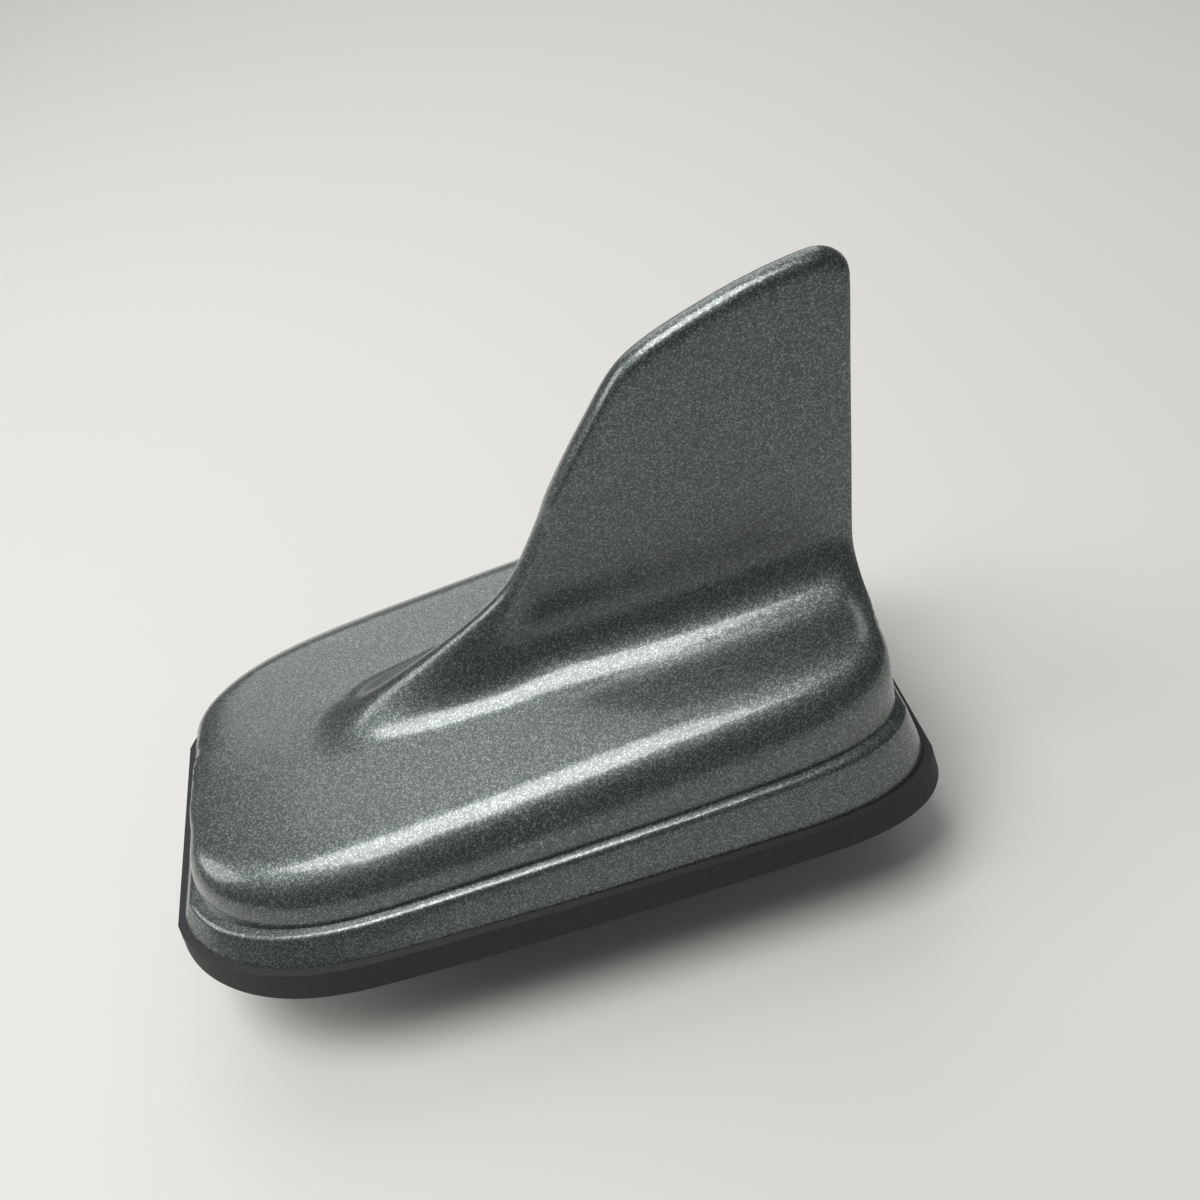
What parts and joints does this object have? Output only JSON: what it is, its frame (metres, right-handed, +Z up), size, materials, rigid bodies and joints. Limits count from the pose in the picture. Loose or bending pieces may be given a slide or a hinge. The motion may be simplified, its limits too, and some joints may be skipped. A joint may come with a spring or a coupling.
{
  "type": "roof antenna",
  "caption": "Shark-fin roof antenna with a painted hollow fin cover, rubber base seal, cast base, threaded stud and coaxial sockets underneath.",
  "frame": {"origin": "on the mounting stud's axis in the plane of the roof, which is the seal's contact face", "axes": "+X to the rear of the vehicle, +Y to its right, +Z up, away from the roof"},
  "size_m": [0.1055, 0.0644, 0.0828],
  "materials": {
    "painted_cover": "dark grey-green metallic paint under gloss clear coat",
    "seal_rubber": "matt black EPDM",
    "gasket_rubber": "matt",
    "foam_rubber": "closed-cell foam",
    "cast_base": "as cast",
    "zinc_steel": "zinc plated",
    "circuit_board": "solder mask",
    "adhesive_pad": "foam tape",
    "patch_ceramic": "fired",
    "silver_film": "silvered",
    "contact_brass": "bright",
    "tinned_steel": "tinned",
    "socket_blue": "moulded",
    "socket_black": "moulded",
    "socket_violet": "moulded",
    "insulator": "moulded"
  },
  "bodies": {
    "root": {"fin_cover": "painted_cover", "base_seal": "seal_rubber", "cover_gasket": "gasket_rubber", "spigot_ring": "foam_rubber", "base_plate": "cast_base", "mounting_stud": "zinc_steel", "cover_screws": "zinc_steel", "board_screws": "zinc_steel", "main_board": "circuit_board", "fin_board": "circuit_board", "fin_foam": "foam_rubber", "patch_pad": "adhesive_pad", "patch_ceramic": "patch_ceramic", "patch_electrode": "silver_film", "patch_feed_pin": "contact_brass", "shield_can": "tinned_steel", "socket_housing_front": "socket_blue", "socket_housing_right": "socket_black", "socket_housing_left": "socket_violet", "socket_shells": "contact_brass", "socket_insulators": "insulator", "socket_pins": "contact_brass"}
  },
  "joints": []
}
